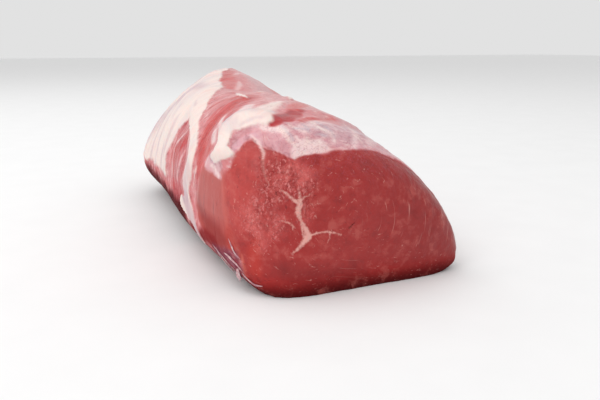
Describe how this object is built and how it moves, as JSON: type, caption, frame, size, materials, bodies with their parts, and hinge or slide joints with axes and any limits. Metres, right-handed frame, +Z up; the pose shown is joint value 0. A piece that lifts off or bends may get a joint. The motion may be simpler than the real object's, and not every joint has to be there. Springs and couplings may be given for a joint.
{
  "type": "raw veal eye of round",
  "caption": "Raw veal eye of round: one long rounded muscle cut square across the grain at one end, with its silverskin and fat left on.",
  "frame": {"origin": "on the surface that the meat rests on, under the middle of its bounding box", "axes": "+Y along the grain, from the square-cut face to the rounded tail; +X to the right as seen by someone who looks at the cut face; +Z up"},
  "size_m": [0.1268, 0.3012, 0.0972],
  "materials": {
    "raw_veal": "moist raw meat: red lean muscle, creamy fat and pale pink silverskin"
  },
  "bodies": {
    "root": {"veal_eye_of_round": "raw_veal"}
  },
  "joints": []
}
